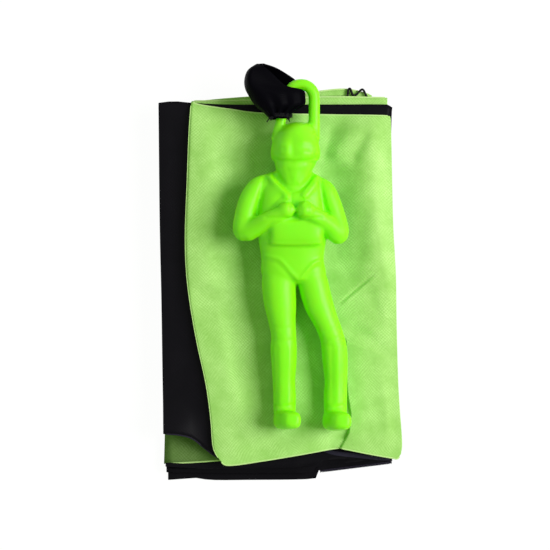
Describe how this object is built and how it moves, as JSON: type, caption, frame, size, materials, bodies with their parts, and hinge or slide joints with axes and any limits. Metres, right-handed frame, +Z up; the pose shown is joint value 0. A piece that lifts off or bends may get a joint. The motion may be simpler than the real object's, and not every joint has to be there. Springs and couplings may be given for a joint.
{
  "type": "toy parachute",
  "caption": "Hand-thrown toy parachute lying packed: a folded green and black cloth canopy with stowed lines, a riser strap and a moulded parachutist figure on a ring.",
  "frame": {"origin": "under the middle of the toy's bounding box, on the surface that it lies on", "axes": "+X across the pack, +Y along the pack from the figure's feet to its head, +Z up from the surface"},
  "size_m": [0.0624, 0.1067, 0.0249],
  "materials": {
    "green_cloth": "thin woven polyester with a fine weave, slightly shiny, softly creased",
    "black_cloth": "thin woven polyester, dense black",
    "black_hem": "overlocked cut edge of the black cloth",
    "black_cord": "thin braided polyester cord",
    "black_ribbon": "soft puffed ribbon, gathered and bound at its lower end",
    "green_plastic": "soft neon green moulded plastic with a satin gloss"
  },
  "bodies": {
    "pack": {"gore_1_black": "black_cloth", "gore_2_green": "green_cloth", "gore_3_black": "black_cloth", "gore_4_green": "green_cloth", "gore_5_black": "black_cloth", "gore_6_green": "green_cloth", "gore_7_black": "black_cloth", "gore_8_green": "green_cloth", "skirt_hem": "black_hem", "shroud_line_1": "black_cord", "shroud_line_2": "black_cord", "shroud_line_3": "black_cord", "shroud_line_4": "black_cord", "shroud_line_5": "black_cord", "shroud_line_6": "black_cord", "shroud_line_7": "black_cord", "shroud_line_8": "black_cord", "line_lead_1": "black_cord", "line_lead_2": "black_cord", "line_lead_3": "black_cord", "line_lead_4": "black_cord", "line_lead_5": "black_cord", "line_lead_6": "black_cord", "line_lead_7": "black_cord", "line_lead_8": "black_cord", "line_slack": "black_cord"},
    "strap": {"riser_strap": "black_ribbon"},
    "figure": {"figure": "green_plastic"}
  },
  "joints": [
    {"name": "strap_lift", "type": "hinge", "parent": "pack", "child": "strap", "pos_m": [-0.0014, 0.0477, 0.01], "axis": [-1, 0, 0], "range_deg": [0, 90]},
    {"name": "figure_turn", "type": "hinge", "parent": "strap", "child": "figure", "pos_m": [0.0051, 0.0444, 0.01632], "axis": [0, 0, 1], "range_deg": [-10, 10]}
  ]
}
